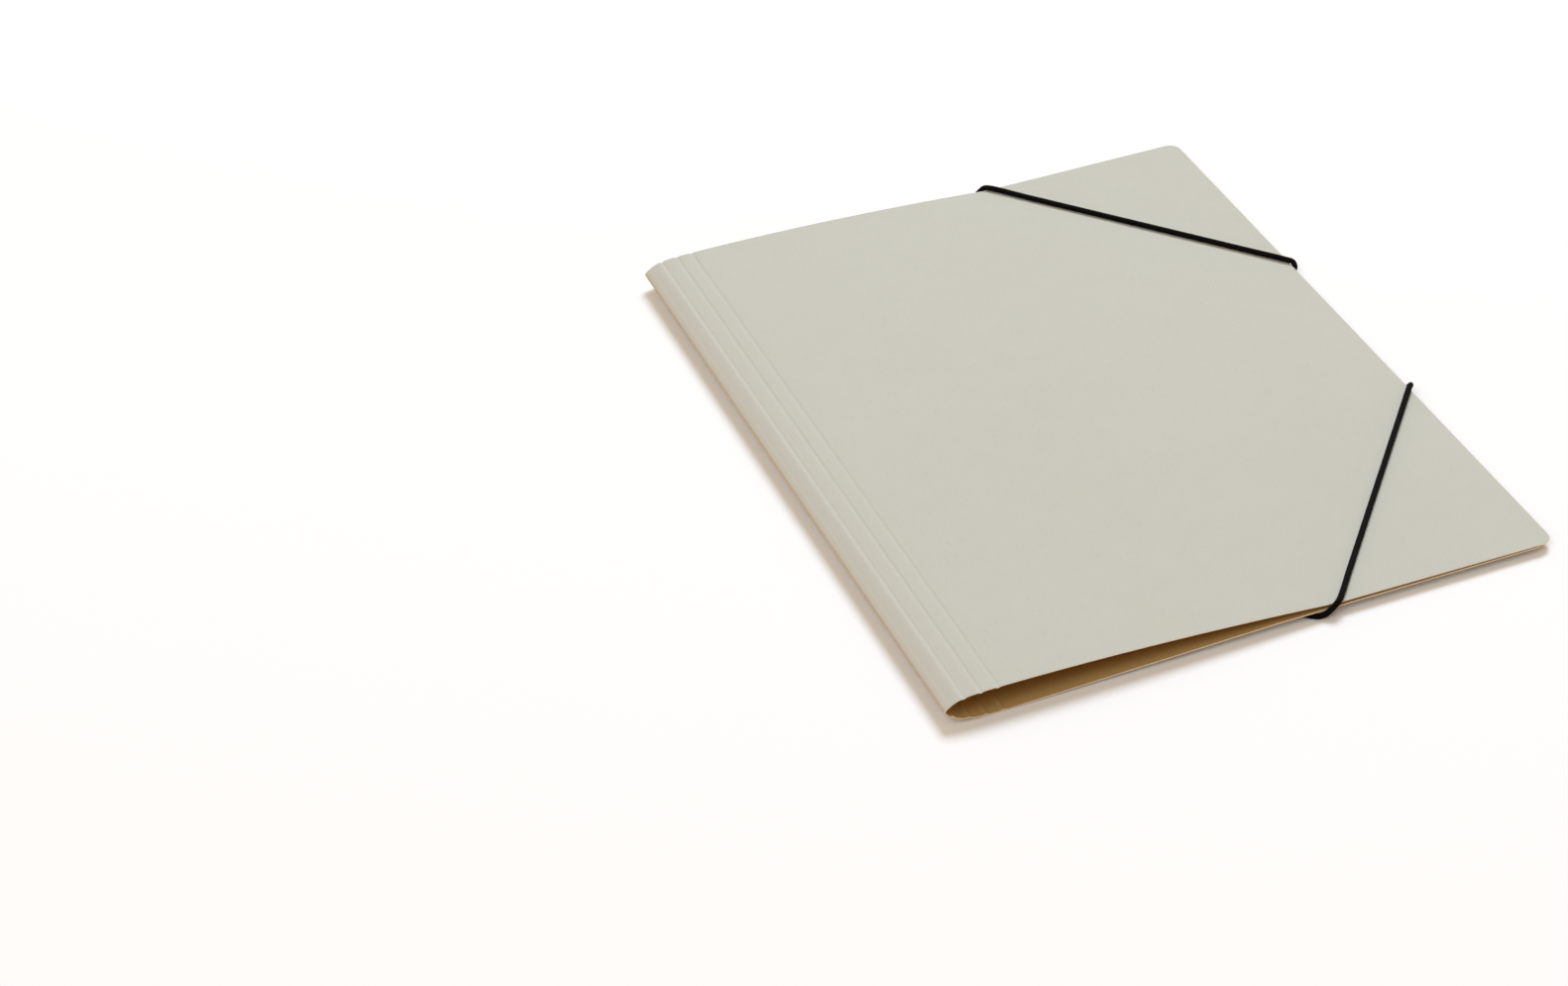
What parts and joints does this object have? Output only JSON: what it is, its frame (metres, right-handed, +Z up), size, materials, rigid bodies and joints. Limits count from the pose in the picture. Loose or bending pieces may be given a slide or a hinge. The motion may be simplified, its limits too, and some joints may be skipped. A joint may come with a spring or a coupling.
{
  "type": "elastic folder",
  "caption": "Closed document folder of creased card with rounded fore corners, held shut by a round elastic stretched over its two fore corners.",
  "frame": {"origin": "on the table, under the middle of the folder's footprint", "axes": "+X from the spine to the fore edge, +Y along the spine from the bottom end to the top end, +Z up from the table through the front cover"},
  "size_m": [0.2386, 0.3254, 0.0114],
  "materials": {
    "card": "matt, uncoated",
    "elastic": "braided, matt",
    "end_bar": "satin"
  },
  "bodies": {
    "root": {"folder_card": "card", "elastic_cord": "elastic", "end_bar_bottom": "end_bar", "end_bar_top": "end_bar"}
  },
  "joints": []
}
